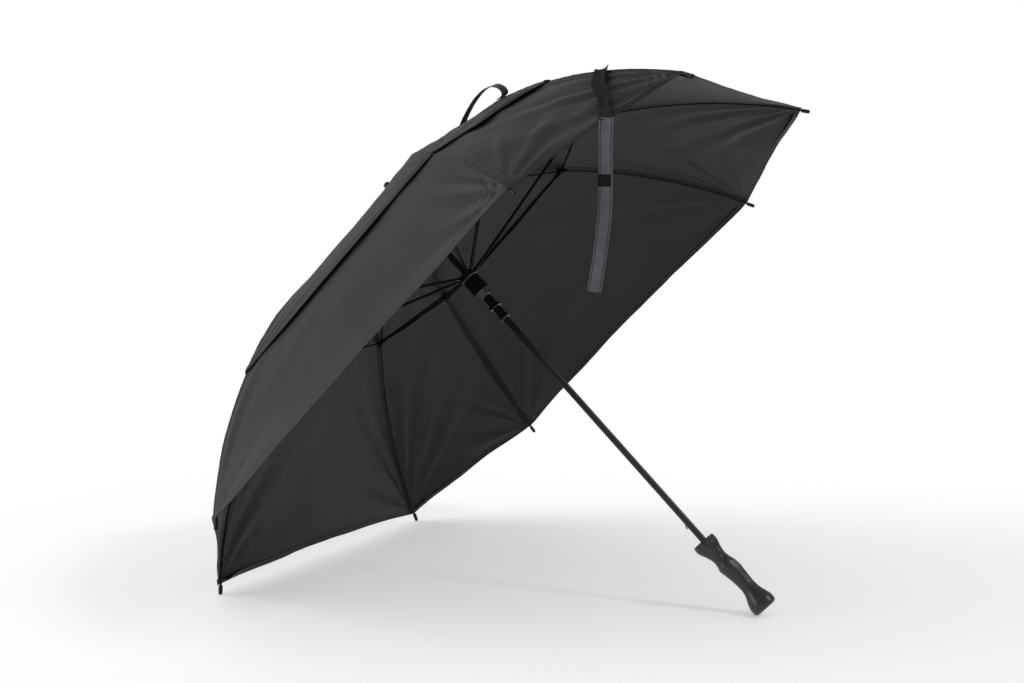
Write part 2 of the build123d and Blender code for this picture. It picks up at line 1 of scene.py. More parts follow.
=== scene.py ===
# %% [markdown]
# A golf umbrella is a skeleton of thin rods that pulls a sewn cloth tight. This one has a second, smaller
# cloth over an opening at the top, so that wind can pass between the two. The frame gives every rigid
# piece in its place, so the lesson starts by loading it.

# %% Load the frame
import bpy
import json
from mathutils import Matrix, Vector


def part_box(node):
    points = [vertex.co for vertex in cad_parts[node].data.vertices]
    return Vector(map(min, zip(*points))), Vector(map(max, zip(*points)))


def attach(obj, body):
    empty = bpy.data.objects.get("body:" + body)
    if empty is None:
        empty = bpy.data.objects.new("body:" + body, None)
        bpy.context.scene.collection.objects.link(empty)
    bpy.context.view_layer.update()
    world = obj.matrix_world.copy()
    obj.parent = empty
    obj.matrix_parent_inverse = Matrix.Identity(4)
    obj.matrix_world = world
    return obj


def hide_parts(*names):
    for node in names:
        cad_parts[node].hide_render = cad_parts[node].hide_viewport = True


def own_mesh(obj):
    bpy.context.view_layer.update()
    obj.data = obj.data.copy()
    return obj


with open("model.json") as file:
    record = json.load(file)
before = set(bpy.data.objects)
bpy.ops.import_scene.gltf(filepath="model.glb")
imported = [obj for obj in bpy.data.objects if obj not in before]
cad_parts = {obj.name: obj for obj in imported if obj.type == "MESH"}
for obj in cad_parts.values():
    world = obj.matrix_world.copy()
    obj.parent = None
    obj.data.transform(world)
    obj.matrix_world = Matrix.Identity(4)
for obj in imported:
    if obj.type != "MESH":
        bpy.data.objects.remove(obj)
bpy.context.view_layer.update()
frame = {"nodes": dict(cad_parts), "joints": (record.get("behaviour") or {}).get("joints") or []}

import json
import math
import bpy
from mathutils import Matrix, Vector, noise

joints = {joint["name"]: joint for joint in frame["joints"]}

# %% [markdown]
# Everything on an umbrella is placed by three numbers: how far from the shaft, at which angle round it,
# and how far along it. The eight hinges at the crown and the eight at the ribs' joints lie on two circles
# about the shaft, so the line between the circles' centres is the shaft itself, wherever the umbrella lies.

# %% Umbrella coordinates
rib_count = 8
crown_hinges = [Vector(joints["canopy_fold"]["pos_m"])]
crown_hinges += [Vector(joints[f"inner_rib_hinge_{k}"]["pos_m"]) for k in range(2, rib_count + 1)]
knee_hinges = [Vector(joints[f"outer_rib_hinge_{k}"]["pos_m"]) for k in range(1, rib_count + 1)]
crown = sum(crown_hinges, Vector()) / rib_count
knee_centre = sum(knee_hinges, Vector()) / rib_count
shaft_up = (crown - knee_centre).normalized()
across = Vector((0, 1, 0))
forward = across.cross(shaft_up)
knee_radius = (knee_hinges[0] - knee_centre).length
knee_height = -(crown - knee_centre).length


def rib_angle(index):
    """Angle round the shaft of rib 0..7, in radians."""
    arm = knee_hinges[index % rib_count] - knee_centre
    return math.atan2(arm.dot(across), arm.dot(forward))


def radial(angle):
    """Outward direction at an angle round the shaft."""
    return forward * math.cos(angle) + across * math.sin(angle)


def place(radius, angle, height):
    """Point at a distance from the shaft, an angle round it, and a height above the crown's ring."""
    return crown + radial(angle) * radius + shaft_up * height


half_angles = []
for index in range(rib_count):
    turn = (rib_angle(index + 1) - rib_angle(index)) % (2 * math.pi)
    half_angles.append(turn / 2)
print("joint circle radius mm:", round(knee_radius * 1000, 1))
print("joints below the crown mm:", round(-knee_height * 1000, 1))
print("gore angles:", [round(math.degrees(2 * half), 1) for half in half_angles])

# %% [markdown]
# Between two ribs the threads that run round the umbrella lie level and straight, so a gore is bent one
# way only and its shape follows from the rib: straight from the crown to the joint, then bowed down to
# the tip. One function gives that line at any height above the rib, and eases the small bend at the
# joint, because a real rib is one springy rod.

# %% The line of a rib
crown_radius = (crown_hinges[0] - crown).length
inner_slope = math.atan2(-knee_height, knee_radius - crown_radius)
bow_radius = 0.880
bow_start = math.radians(25.0)
canopy_radius = 0.650
cloth_outer = canopy_radius - 0.002
lower_lift = 0.0052
cap_lift = 0.0073
cap_inner = 0.024
cap_outer = 0.455
lower_inner = 0.340
ease = 0.030
bow_centre_r = knee_radius - bow_radius * math.sin(bow_start)
bow_centre_h = knee_height - bow_radius * math.cos(bow_start)


def inner_line(radius, lift):
    return knee_height + (knee_radius - radius) * math.tan(inner_slope) + lift / math.cos(inner_slope)


def bow_line(radius, lift):
    reach = bow_radius + lift
    return bow_centre_h + math.sqrt(reach ** 2 - (radius - bow_centre_r) ** 2)


def rib_line(radius, lift):
    """Height above the crown's ring of a line that runs along a rib, this far above it."""
    if radius >= knee_radius + ease:
        return bow_line(radius, lift)
    if radius <= knee_radius - ease:
        return inner_line(radius, lift)
    low, high = knee_radius - ease, knee_radius + ease
    share = (radius - low) / (high - low)
    fall_low = -math.tan(inner_slope) * (high - low)
    step = 1e-4
    fall_high = (bow_line(high + step, lift) - bow_line(high - step, lift)) / (2 * step) * (high - low)
    a, b = inner_line(low, lift), bow_line(high, lift)
    s2, s3 = share ** 2, share ** 3
    return (2 * s3 - 3 * s2 + 1) * a + (s3 - 2 * s2 + share) * fall_low + (3 * s2 - 2 * s3) * b + (
        s3 - s2
    ) * fall_high


tip_slope = math.asin((canopy_radius - bow_centre_r) / bow_radius)
print("slopes in degrees:", [round(math.degrees(a), 1) for a in (inner_slope, bow_start, tip_slope)])

# %% [markdown]
# Materials come next, because every piece needs one. Colours are written as sRGB hex values, as a paint
# card gives them, and one function turns them into the linear values that Blender reckons with. One more
# small function adds a node, sets its values and makes its links.

# %% Material helpers
def linear(code, alpha=1.0):
    """Linear colour from an sRGB hex code."""
    parts = [int(code[i:i + 2], 16) / 255 for i in (1, 3, 5)]
    return tuple(c / 12.92 if c <= 0.04045 else ((c + 0.055) / 1.055) ** 2.4 for c in parts) + (alpha,)


def add_node(tree, kind, values=(), **links):
    """Adds a node, sets its inputs or properties, and links sources to its inputs."""
    node = tree.nodes.new(kind)
    for name, value in dict(values).items():
        if isinstance(name, int) or name in node.inputs:
            node.inputs[name].default_value = value
        else:
            setattr(node, name, value)
    for name, source in links.items():
        tree.links.new(source, node.inputs[name.replace("_", " ")])
    return node


def new_material(name, color, roughness, metallic=0.0, **more):
    """Principled material; returns the material, its tree and its shader."""
    material = bpy.data.materials.new(name)
    material.use_nodes = True
    tree = material.node_tree
    shader = tree.nodes["Principled BSDF"]
    shader.inputs["Base Color"].default_value = linear(color)
    shader.inputs["Roughness"].default_value = roughness
    shader.inputs["Metallic"].default_value = metallic
    for key, value in more.items():
        shader.inputs[key.replace("_", " ")].default_value = value
    return material, tree, shader


def blotches(tree, shader, low, high, size, detail=3.0):
    """Soft change of colour between two hex values, over patches of this size in metres."""
    where = add_node(tree, "ShaderNodeTexCoord")
    settings = {"Scale": 1 / size, "Detail": detail}
    cloud = add_node(tree, "ShaderNodeTexNoise", settings, Vector=where.outputs["Object"])
    ramp = add_node(tree, "ShaderNodeValToRGB", Fac=cloud.outputs["Fac"])
    ramp.color_ramp.elements[0].position = 0.3
    ramp.color_ramp.elements[0].color = linear(low)
    ramp.color_ramp.elements[1].position = 0.7
    ramp.color_ramp.elements[1].color = linear(high)
    tree.links.new(ramp.outputs["Color"], shader.inputs["Base Color"])
    return where


def grain(tree, shader, source, size, depth):
    """Fine relief of this size and depth in metres."""
    pattern = add_node(tree, "ShaderNodeTexNoise", {"Scale": 1 / size}, Vector=source)
    settings = {"Strength": 1.0, "Distance": depth}
    bump = add_node(tree, "ShaderNodeBump", settings, Height=pattern.outputs["Fac"])
    tree.links.new(bump.outputs["Normal"], shader.inputs["Normal"])


# %% [markdown]
# The canopy is pongee: a close plain weave of polyester, dyed black and coated inside with a thin film.
# Real threads lie about 0.2 mm apart, which no picture of a whole umbrella shows, so the weave is drawn
# at 1.6 mm, just coarse enough to break up the light. The coating gives the broad satin shine, and a
# little sheen gives the lighter look of cloth seen edge on.

# %% Pongee cloth
wave_period = 2 * math.pi / 20    # a wave texture of scale 1 repeats over this length


def pongee(name, low, high):
    material, tree, shader = new_material(name, high, 0.50, Sheen_Weight=0.14, Sheen_Roughness=0.4)
    shader.inputs["Sheen Tint"].default_value = linear("#8A868E")
    shader.inputs["Specular IOR Level"].default_value = 0.26
    blotches(tree, shader, low, high, 0.22)
    flat = add_node(tree, "ShaderNodeUVMap", {"uv_map": "cut"})
    thread = 0.0016
    heights = []
    for direction in ("X", "Y"):
        settings = {"wave_type": "BANDS", "bands_direction": direction, "Scale": wave_period / thread}
        wave = add_node(tree, "ShaderNodeTexWave", settings, Vector=flat.outputs["UV"])
        heights.append(wave.outputs["Fac"])
    weave = add_node(tree, "ShaderNodeMath", {"operation": "ADD"})
    for i, height in enumerate(heights):
        tree.links.new(height, weave.inputs[i])
    bump = add_node(tree, "ShaderNodeBump", {"Strength": 0.35, "Distance": 0.00006}, Height=weave.outputs[0])
    tree.links.new(bump.outputs["Normal"], shader.inputs["Normal"])
    return material


cloth = pongee("polyester pongee", "#1B191D", "#232025")
cloth_hem = pongee("doubled pongee hem", "#171518", "#1F1D21")
print("cloth materials:", cloth.name, "and", cloth_hem.name)

# %% [markdown]
# The cloth is pulled by the ribs and the tip caps, and its faults are what make it look sewn. It sags a
# little between the ribs; short folds fan out of each tip, where the corner is pulled; the seams pucker;
# and slow waves cross the gore. All of these are one displacement of the smooth gore, worked out from
# where a point lies, so that two pieces which share an edge also share its shape.

# %% How the cloth is displaced
sag_share = 0.018
tip_fold_depth = 0.0042
tip_fold_reach = 0.080
pucker_depth = 0.0005
pucker_length = 0.017
wave_depth = 0.0022


def cloth_displacement(gore, outer, x, y, half, soft):
    """Distance in metres that the cloth lies below its smooth shape; zero along the seams."""
    radius = x / math.cos(half)
    width = radius * math.sin(half)
    if width < 1e-5:
        return 0.0
    cover = 1 - min(1.0, abs(y) / width) ** 2
    along = min(1.0, radius / outer)
    depth = -sag_share * soft * 2 * width * cover * (0.35 + 0.65 * math.sin(math.pi * min(along, 0.97)))
    for side in (-1, 1):
        tip_x, tip_y = outer * math.cos(half), side * outer * math.sin(half)
        away = math.hypot(tip_x - x, tip_y - y)
        bearing = math.atan2(tip_x - x, side * (tip_y - y) + 1e-9)
        from_seam = bearing - (math.pi / 2 - half)
        seed = gore * 1.7 + side * 0.9
        fan = math.sin(19 * from_seam + seed + 0.8 * math.sin(3 * seed + away * 25))
        fan += 0.5 * math.sin(31 * from_seam + 2.3 * seed)
        if outer < cloth_outer:
            fan = max(fan, 0.0)
        fade = (away / tip_fold_reach) * math.exp(1 - away / tip_fold_reach)
        edge = min(1.0, abs((width - side * y)) / 0.018)
        depth += tip_fold_depth * soft * fan * fade * edge * 0.5
        from_rib = (width - side * y) * math.cos(half)
        unevenness = 2.5 * noise.noise(Vector((radius * 30, gore, side)))
        pucker = math.sin(2 * math.pi * radius / pucker_length + unevenness)
        depth += pucker_depth * pucker * (from_rib / 0.006) * math.exp(1 - from_rib / 0.006)
    drift = noise.noise(Vector((x * 5 + gore * 3.1, y * 9, gore * 1.3))) * wave_depth
    drift += noise.noise(Vector((x * 14 + gore, y * 30, gore * 2.1))) * wave_depth * 0.35
    return depth + drift * soft * cover


print("deepest sag mm:", round(sag_share * 2 * cloth_outer * math.sin(max(half_angles)) * 1000, 1))

# %% [markdown]
# One function makes half a gore, from a seam to the gore's middle, as a grid of points. Half a gore is
# the right unit because each rib carries the cloth on both its sides when the umbrella folds. The smooth
# normals are worked out from the same formula, so that light crosses from one half to the other without
# a line. The grid also carries its flat cut as a UV map in metres, which the weave follows.

# %% One half of a gore
slope_step = 0.0008       # to either side of a point, when its slope is worked out
slope_stretch = 1.1       # length of sloping cloth for each metre outward, near enough for the weave


def gore_frame(index):
    """Middle direction and level direction of a gore."""
    middle = rib_angle(index) + half_angles[index]
    return radial(middle), radial(middle + math.pi / 2)


def cloth_point(index, radius, y, lift, outer, soft):
    """Point of a gore's cloth, lifted off its ribs, with its displacement along the shaft."""
    half = half_angles[index]
    out, level = gore_frame(index)
    x = radius * math.cos(half)
    drop = cloth_displacement(index, outer, x, y, half, soft)
    return crown + out * x + level * y + shaft_up * (rib_line(radius, lift) + drop)


def edge_radius(index, share, outer, dip):
    """Rib radius of the gore's outer edge, at a share of the way from its middle to a seam."""
    return outer - dip * 2 * outer * math.tan(half_angles[index]) * (1 - share ** 2)


def half_gore(index, side, inner, outer, lift, dip, soft, rows, columns, start=None, stop=None):
    """Half of a gore between two radii; start and stop cut it short of the inner opening or outer edge."""
    half = half_angles[index]
    points, normals, cuts = [], [], []
    for i in range(rows + 1):
        for j in range(columns + 1):
            share = 1 - j / columns
            top = edge_radius(index, share, outer, dip) if stop is None else stop
            low = inner if start is None else start
            radius = low + (top - low) * i / rows
            y = side * share * radius * math.sin(half)
            step = slope_step
            here = cloth_point(index, radius, y, lift, outer, soft)
            along = cloth_point(index, radius + step, y, lift, outer, soft)
            along -= cloth_point(index, radius - step, y, lift, outer, soft)
            sideways = cloth_point(index, radius, y + step, lift, outer, soft)
            sideways -= cloth_point(index, radius, y - step, lift, outer, soft)
            normal = along.cross(sideways).normalized()
            if normal.dot(shaft_up) < 0:
                normal.negate()
            points.append(here)
            normals.append(normal)
            cuts.append((y, radius * slope_stretch))
    faces = []
    for i in range(rows):
        for j in range(columns):
            a = i * (columns + 1) + j
            quad = (a, a + 1, a + columns + 2, a + columns + 1)
            faces.append(quad if side > 0 else quad[::-1])
    return points, normals, cuts, faces


hem_width = 0.009
hem_half = 0.00045


def add_hem(grid, index, side, outer, lift, dip, soft, columns):
    """Adds the folded and stitched edge to a grid; its faces come last."""
    points, normals, cuts, faces = grid
    half = half_angles[index]
    plain = len(faces)
    loop = [(-hem_width, 0.2), (-hem_width + 0.001, 1.0), (-0.0012, 1.0), (0.0, 0.75), (0.0007, 0.0)]
    loop += [(0.0, -0.75), (-0.0012, -1.0), (-hem_width + 0.001, -1.0), (-hem_width, -0.2)]
    first = len(points)
    for back, rise in loop:
        for j in range(columns + 1):
            share = 1 - j / columns
            edge = edge_radius(index, share, outer, dip)
            y = side * share * edge * math.sin(half)
            step = slope_step
            here = cloth_point(index, edge, y, lift, outer, soft)
            inward = here - cloth_point(index, edge - step, y, lift, outer, soft)
            sideways = cloth_point(index, edge, y + step, lift, outer, soft) - here
            normal = inward.cross(sideways).normalized()
            if normal.dot(shaft_up) < 0:
                normal.negate()
            stitch = 0.8 + 0.2 * math.sin(2 * math.pi * y / 0.011 + index)
            points.append(here + inward.normalized() * back + normal * rise * hem_half * stitch)
            nose = max(0.0, 1 - abs(rise))
            outward = 1 if back > -0.002 else -1
            normals.append((normal * rise + inward.normalized() * nose * outward).normalized())
            cuts.append((y, edge * slope_stretch + back))
    for i in range(len(loop) - 1):
        for j in range(columns):
            a = first + i * (columns + 1) + j
            quad = (a, a + 1, a + columns + 2, a + columns + 1)
            faces.append(quad if side > 0 else quad[::-1])
    return points, normals, cuts, faces, plain


def cloth_piece(name, grid, material):
    """Mesh object from a grid of points with its own normals and flat cut."""
    points, normals, cuts, faces = grid[:4]
    mesh = bpy.data.meshes.new(name)
    mesh.from_pydata(points, [], faces)
    mesh.update()
    layer = mesh.uv_layers.new(name="cut")
    for loop in mesh.loops:
        layer.data[loop.index].uv = cuts[loop.vertex_index]
    mesh.polygons.foreach_set("use_smooth", [True] * len(mesh.polygons))
    mesh.normals_split_custom_set_from_vertices(normals)
    mesh.materials.append(material)
    if len(grid) > 4:
        mesh.materials.append(cloth_hem)
        marks = [0] * grid[4] + [1] * (len(faces) - grid[4])
        mesh.polygons.foreach_set("material_index", marks)
    piece = bpy.data.objects.new(name, mesh)
    bpy.context.scene.collection.objects.link(piece)
    return piece


def fold_axis(index, side, slope):
    """Direction in which half a gore gathers on to its rib when the umbrella folds."""
    rib = index if side < 0 else (index + 1) % rib_count
    angle = rib_angle(rib)
    level = radial(angle + math.pi / 2)
    rise = radial(angle) * math.sin(slope) + shaft_up * math.cos(slope)
    half = half_angles[index]
    return (level * math.cos(half) + rise * math.sin(half) * math.sin(slope) * side).normalized(), rib


cap_dip, hem_dip = 0.015, 0.012
chord_slope = (bow_start + tip_slope) / 2


def settle(piece, index, side, body, slope, node):
    """Rides a cloth piece on its rib, gives it its own mesh, and hides the frame's node that it replaces."""
    axis, rib = fold_axis(index, side, slope)
    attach(piece, f"{body}_{rib + 1}")
    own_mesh(piece)
    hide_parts(node)


# %% [markdown]
# The lower canopy goes from the round opening under the vent cap down to the hem. Each half is held by
# one bowed rib, so it rides on that rib.

# %% The sixteen halves of the lower canopy
grid_step = 0.0065
for index in range(rib_count):
    half = half_angles[index]
    node = f"canopy_gore_{index + 1}"
    columns = round(cloth_outer * math.sin(half) / grid_step)
    for side, hand in ((-1, "first"), (1, "second")):
        name = f"canopy_{index + 1}_{hand}_half"
        grid = half_gore(index, side, lower_inner, cloth_outer, lower_lift, hem_dip, 1.0, 54, columns)
        grid = add_hem(grid, index, side, cloth_outer, lower_lift, hem_dip, 1.0, columns)
        piece = cloth_piece(name, grid, cloth)
        settle(piece, index, side, "outer_rib", chord_slope, node)
print("lower canopy made of", 2 * rib_count, "half gores")

# %% [markdown]
# The vent cap starts at the crown and ends free over the lower canopy. It crosses the joint between the
# straight part and the bowed part of every rib, and those two parts turn by different amounts. So each
# half is made in two lengths that share the line over the joint: the upper length rides on the straight
# part, and the lower one, called the flap, on the bowed part. It is held less tightly, so it is flatter.

# %% The vent cap, in two lengths so that it follows both parts of a rib
cap_softness = 0.7
for index in range(rib_count):
    half = half_angles[index]
    node = f"vent_gore_{index + 1}"
    for side, hand in ((-1, "first"), (1, "second")):
        columns = round(cap_outer * math.sin(half) / grid_step)
        name = f"vent_cap_{index + 1}_{hand}_half"
        grid = half_gore(index, side, cap_inner, cap_outer, cap_lift, cap_dip, cap_softness, 48, columns,
                         stop=knee_radius)
        piece = cloth_piece(name, grid, cloth)
        settle(piece, index, side, "inner_rib", inner_slope, node)
        name = f"vent_flap_{index + 1}_{hand}_half"
        grid = half_gore(index, side, cap_inner, cap_outer, cap_lift, cap_dip, cap_softness, 18, columns,
                         start=knee_radius)
        grid = add_hem(grid, index, side, cap_outer, cap_lift, cap_dip, cap_softness, columns)
        piece = cloth_piece(name, grid, cloth)
        settle(piece, index, side, "outer_rib", bow_start, node)
print("vent cap made of", 4 * rib_count, "pieces")

# %% [markdown]
# Where two gores meet, the seam allowance is folded and felled over each rib. It shows as a narrow raised
# line that runs from the crown to each tip. It is a strip of its own, which rides rigidly on the rib, so it
# also covers the ridge of the cloth when the umbrella is folded.

# %% Seams over the ribs
seam_profile = ((-0.0032, 0.0), (-0.0024, 0.00035), (-0.0008, 0.0005), (0.0008, 0.0005),
                (0.0024, 0.00035), (0.0032, 0.0))


def seam_strip(name, rib, low, high, lift, outer, soft, body, rows):
    """Raised strip of doubled cloth along a rib."""
    points, faces = [], []
    for i in range(rows + 1):
        radius = low + (high - low) * i / rows
        for offset, rise in seam_profile:
            gore = rib if offset > 0 else (rib - 1) % rib_count
            width = radius * math.sin(half_angles[gore]) - abs(offset)
            side = -1 if offset > 0 else 1
            points.append(cloth_point(gore, radius, side * width, lift + rise, outer, soft))
    across_count = len(seam_profile)
    for i in range(rows):
        for j in range(across_count - 1):
            a = i * across_count + j
            faces.append((a, a + across_count, a + across_count + 1, a + 1))
    mesh = bpy.data.meshes.new(name)
    mesh.from_pydata(points, [], faces)
    mesh.polygons.foreach_set("use_smooth", [True] * len(faces))
    layer = mesh.uv_layers.new(name="cut")
    for loop in mesh.loops:
        row, column = divmod(loop.vertex_index, across_count)
        layer.data[loop.index].uv = (seam_profile[column][0], row * (high - low) / rows)
    mesh.materials.append(cloth_hem)
    piece = bpy.data.objects.new(name, mesh)
    bpy.context.scene.collection.objects.link(piece)
    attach(piece, f"{body}_{rib + 1}")
    return piece


for rib in range(rib_count):
    number = rib + 1
    seam_strip(f"canopy_seam_{number}", rib, cap_outer - 0.02, cloth_outer, lower_lift, cloth_outer, 1.0,
               "outer_rib", 60)
    seam_strip(f"vent_seam_{number}", rib, cap_inner, knee_radius, cap_lift, cap_outer, cap_softness,
               "inner_rib", 70)
    seam_strip(f"vent_flap_seam_{number}", rib, knee_radius, cap_outer, cap_lift, cap_outer, cap_softness,
               "outer_rib", 30)
print("seams made:", 3 * rib_count)

# %% [markdown]
# The closing strap and the hanging loop are narrow woven tape. Tape is flat and stiff across its width
# and soft along its length, so each is a ribbon swept along a smooth path, with a width direction given
# at every point of the path. The strap is sewn to a seam, lies over the cloth with its hook patch, turns
# over the hem and hangs straight down.

# %% Tape and its weave
stitch_thread = "#1A191B"


def tape_material(name, low, high, rib_pitch, depth, roughness, sheen=0.15, edge=None):
    """Woven tape: ribs across its width, at a pitch in metres; edge puts a dark stitch line that far out."""
    material, tree, shader = new_material(name, high, roughness, Sheen_Weight=sheen)
    shader.inputs["Specular IOR Level"].default_value = 0.3
    blotches(tree, shader, low, high, 0.03)
    flat = add_node(tree, "ShaderNodeUVMap", {"uv_map": "cut"})
    if edge:
        where = add_node(tree, "ShaderNodeSeparateXYZ", Vector=flat.outputs["UV"])
        out = add_node(tree, "ShaderNodeMath", {"operation": "ABSOLUTE"})
        tree.links.new(where.outputs["X"], out.inputs[0])
        line = add_node(tree, "ShaderNodeMath", {"operation": "COMPARE", 1: edge, 2: 0.0006})
        tree.links.new(out.outputs[0], line.inputs[0])
        plain = shader.inputs["Base Color"].links[0].from_socket
        mixed = add_node(tree, "ShaderNodeMix", {"data_type": "RGBA"})
        mixed.inputs[7].default_value = linear(stitch_thread)
        tree.links.new(line.outputs[0], mixed.inputs[0])
        tree.links.new(plain, mixed.inputs[6])
        tree.links.new(mixed.outputs[2], shader.inputs["Base Color"])
    settings = {"wave_type": "BANDS", "bands_direction": "Y", "Scale": wave_period / rib_pitch}
    wave = add_node(tree, "ShaderNodeTexWave", settings, Vector=flat.outputs["UV"])
    bump = add_node(tree, "ShaderNodeBump", {"Strength": 0.6, "Distance": depth}, Height=wave.outputs["Fac"])
    tree.links.new(bump.outputs["Normal"], shader.inputs["Normal"])
    return material


satin_tape = tape_material("woven polyester tape", "#474449", "#5A575E", 0.0022, 0.0001, 0.5, edge=0.0071)
webbing = tape_material("black woven webbing", "#1B1A1C", "#262427", 0.0024, 0.0002, 0.6)
# near-black: the hook patch's own black, and painted shade on the strap's root where it lies over the narrow
# gore
hook_tape_and_painted_shade = tape_material("hook-and-loop tape and painted shade", "#050506", "#0C0B0C", 0.0016, 0.0004, 0.9, sheen=0.0)


def spline_through(points, per):
    """Catmull-Rom curve through a list of vectors of any size."""
    padded = [points[0]] + list(points) + [points[-1]]
    curve = []
    for i in range(1, len(padded) - 2):
        p0, p1, p2, p3 = padded[i - 1:i + 3]
        for k in range(per):
            t = k / per
            curve.append(0.5 * (2 * p1 + (p2 - p0) * t + (2 * p0 - 5 * p1 + 4 * p2 - p3) * t * t
                                + (3 * p1 - p0 - 3 * p2 + p3) * t ** 3))
    return curve + [padded[-2]]


def ribbon(name, path, sides, width, thickness, material, body, curl=0.0):
    """Tape along a path; sides gives its width direction at each path point."""
    centres = spline_through(path, 10)
    widths = [side.normalized() for side in spline_through(sides, 10)]
    across_shares = (-1.0, -0.92, -0.5, 0.0, 0.5, 0.92, 1.0)
    edge_thin = (0.45, 1.0, 0.9, 0.9, 0.9, 1.0, 0.45)
    points, cuts, length = [], [], 0.0
    for i, centre in enumerate(centres):
        ahead = centres[min(i + 1, len(centres) - 1)] - centres[max(i - 1, 0)]
        side = (widths[i] - ahead.normalized() * widths[i].dot(ahead.normalized())).normalized()
        normal = ahead.normalized().cross(side)
        if i:
            length += (centre - centres[i - 1]).length
        for face in (1, -1):
            order = range(len(across_shares)) if face > 0 else reversed(range(len(across_shares)))
            for j in order:
                share = across_shares[j]
                crease = 0.0006 * noise.noise(Vector((length * 70, share * 1.5, width * 900)))
                lift = normal * (face * thickness / 2 * edge_thin[j] + curl * share * share + crease)
                points.append(centre + side * share * width / 2 + lift)
                cuts.append((share * width / 2, length))
    ring = 2 * len(across_shares)
    faces = []
    for i in range(len(centres) - 1):
        for j in range(ring):
            a, b = i * ring + j, i * ring + (j + 1) % ring
            faces.append((a, b, b + ring, a + ring))
    faces.append(tuple(range(ring))[::-1])
    faces.append(tuple(range((len(centres) - 1) * ring, len(centres) * ring)))
    mesh = bpy.data.meshes.new(name)
    mesh.from_pydata(points, [], faces)
    mesh.polygons.foreach_set("use_smooth", [True] * len(faces))
    layer = mesh.uv_layers.new(name="cut")
    for loop in mesh.loops:
        layer.data[loop.index].uv = cuts[loop.vertex_index]
    mesh.materials.append(material)
    mesh.update()
    piece = bpy.data.objects.new(name, mesh)
    bpy.context.scene.collection.objects.link(piece)
    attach(piece, body)
    return piece, length


# %% [markdown]
# The closing strap has three pieces. Its root is sewn to the seam over the second rib; it lies over the
# narrow gore, curls at its edges and twists once before the hem. It is coloured near-black: black hook
# tape, and painted shade for the shade it lies in there. The hanging part is satin tape with a line of
# stitches near each edge, and it swings on the hinge at the hem. The small square is the other half of the
# hook-and-loop fastener, sewn across the tape.

# %% Closing strap
strap_rib = 1
strap_width, strap_thickness = 0.019, 0.0011
strap_top = Vector(joints["strap_hinge"]["pos_m"])
down = Vector((0, 0, -1))
seam_radius = 0.545
seam_spot = place(seam_radius, rib_angle(strap_rib), rib_line(seam_radius, lower_lift + 0.0022))
run = strap_top - seam_spot
cloth_up = (shaft_up * 0.72 + radial(rib_angle(strap_rib) - half_angles[0]) * 0.69).normalized()
strap_out = Vector((run.x, run.y, 0)).normalized()
strap_side = strap_out.cross(down).normalized()
root_side = run.cross(cloth_up).normalized()
if root_side.dot(strap_side) < 0:
    root_side.negate()
root_line = ((0.0, 0.0, 0.0), (0.12, 0.0025, -0.002), (0.32, 0.0060, -0.005), (0.52, 0.0060, -0.003),
             (0.68, 0.0055, 0.003), (0.80, 0.0050, 0.004), (0.90, 0.0035, 0.001), (1.0, 0.0006, 0.0))
root_path = []
for share, rise, shift in root_line:
    root_path.append(seam_spot + run * share + cloth_up * rise + root_side * shift)
root_twist = (0.0, 0.05, 0.12, -0.10, 0.10, 0.85, 0.55, 0.0)
root_sides = [root_side + cloth_up * twist for twist in root_twist]
# the root's near-black, darker than the cloth around it, is partly painted shade for the shade over the
# narrow gore
root, root_length = ribbon("closing_strap_root", root_path, root_sides, strap_width * 1.1, 0.0014, hook_tape_and_painted_shade,
                           "outer_rib_2", curl=0.0035)
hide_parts("strap_root")

sway = ((0.0, 0.0, 0.0), (0.03, 0.0015, 0.0), (0.075, 0.002, 0.0015), (0.12, -0.0015, 0.002),
        (0.165, -0.001, -0.001), (0.200, 0.0015, -0.005), (0.2275, 0.0, -0.0085))
hang_path = [strap_top - run.normalized() * 0.001]
hang_sides = [root_side]
for drop, out, along in sway:
    hang_path.append(strap_top + down * drop + strap_out * out + strap_side * along)
    hang_sides.append(strap_side + strap_out * (0.25 if drop < 0.02 else 0.06 * math.sin(drop * 40)))
strap, hang_length = ribbon("closing_strap", hang_path, hang_sides, strap_width, strap_thickness, satin_tape,
                            "strap", curl=0.0006)
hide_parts("strap_end")
patch_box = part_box("strap_patch")
patch_top = strap_top.z - patch_box[1][2]
patch_size = 0.016
patch_stand_off = strap_out * (strap_thickness + 0.0016)
patch_path = [strap_top + down * (patch_top + patch_size * k / 3) + patch_stand_off for k in range(4)]
patch, patch_length = ribbon("strap_patch_square", patch_path, [strap_side] * 4, strap_width - 0.002, 0.0014,
                             hook_tape_and_painted_shade, "strap")
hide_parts("strap_patch")
print("strap mm:", round(root_length * 1000), "over the cloth,", round(hang_length * 1000), "hanging")

# %% [markdown]
# A loop of webbing is sewn to the vent cap's seam over the same rib, to hang the umbrella up. Webbing is
# stiff enough to stand: it rises from its near foot, runs almost level, and hooks down to its far foot.

# %% Hanging loop on the vent cap
loop_angle = rib_angle(strap_rib)
loop_route = ((0.212, 0.0006), (0.226, 0.0010), (0.244, 0.0055), (0.268, 0.0130), (0.294, 0.0200),
              (0.318, 0.0245), (0.342, 0.0265), (0.360, 0.0250), (0.369, 0.0190), (0.371, 0.0100),
              (0.366, 0.0030), (0.352, 0.0010))
loop_width = 0.014
loop_path = [place(r, loop_angle, rib_line(r, cap_lift + 0.0012)) + shaft_up * h for r, h in loop_route]
loop_side = radial(loop_angle + math.pi / 2)
loop_sides = [loop_side] * len(loop_path)
hanging_loop, loop_length = ribbon("webbing_loop", loop_path, loop_sides, loop_width, 0.0015, webbing,
                                   "inner_rib_2", curl=0.0003)
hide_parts("hanging_loop")
print("loop mm:", round(loop_length * 1000))

